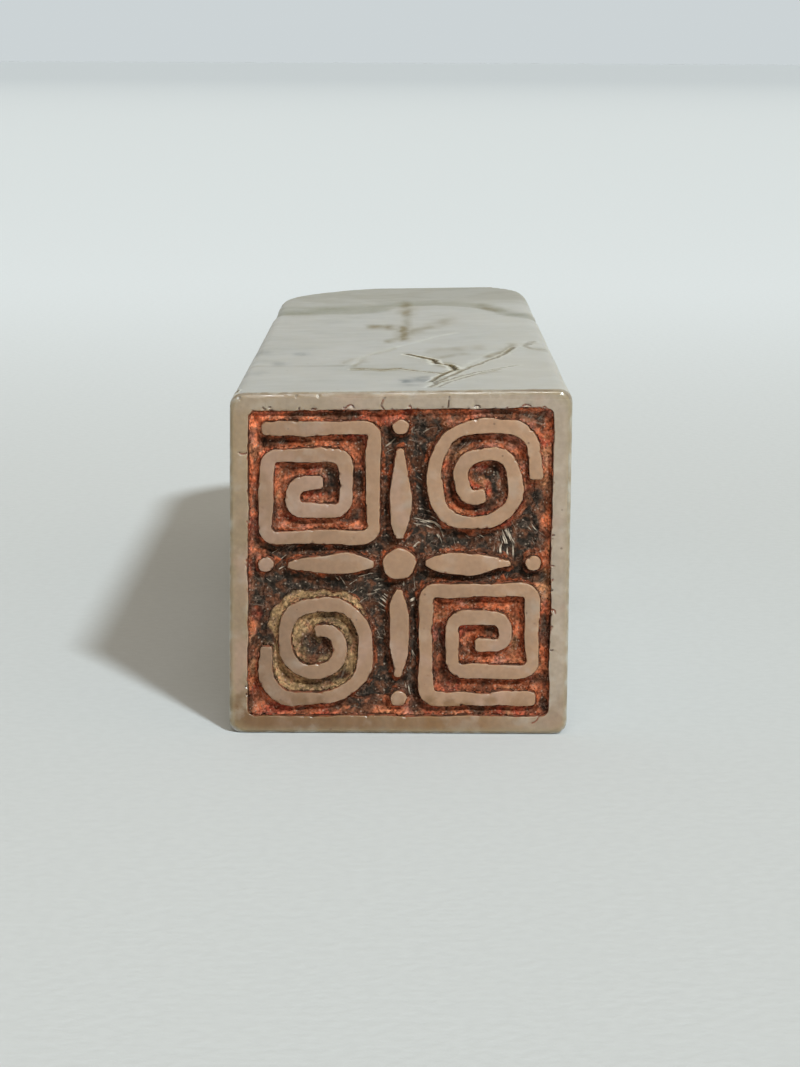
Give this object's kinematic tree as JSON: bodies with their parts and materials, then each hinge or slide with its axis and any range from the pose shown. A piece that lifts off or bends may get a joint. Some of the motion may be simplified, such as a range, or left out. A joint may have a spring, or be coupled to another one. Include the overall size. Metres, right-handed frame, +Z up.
{
  "type": "seal stamp",
  "caption": "Square-section carved stone seal lying on its side, with a raised border and ornament on the printing face and dried paste in the cuts.",
  "frame": {"origin": "on the table under the middle of the block, as it lies on one long side", "axes": "+Z up; +Y along the block from the printing face to the rounded head; +X to the right as the printing face is looked at. The printing face looks along -Y."},
  "size_m": [0.0222, 0.093, 0.0226],
  "materials": {
    "stone": "satin, hand rubbed",
    "red_paste": "dry and crumbly, with an oily glint",
    "ochre_paste": "dry and crumbly",
    "dark_ink": "matt, scratched"
  },
  "bodies": {
    "root": {"carved_stone_block": "stone", "paste_border_channel": "red_paste", "paste_upper_left_fret": "red_paste", "paste_lower_right_fret": "red_paste", "paste_upper_right_volute": "red_paste", "paste_lower_left_volute": "ochre_paste", "ink_open_ground": "dark_ink"}
  },
  "joints": []
}
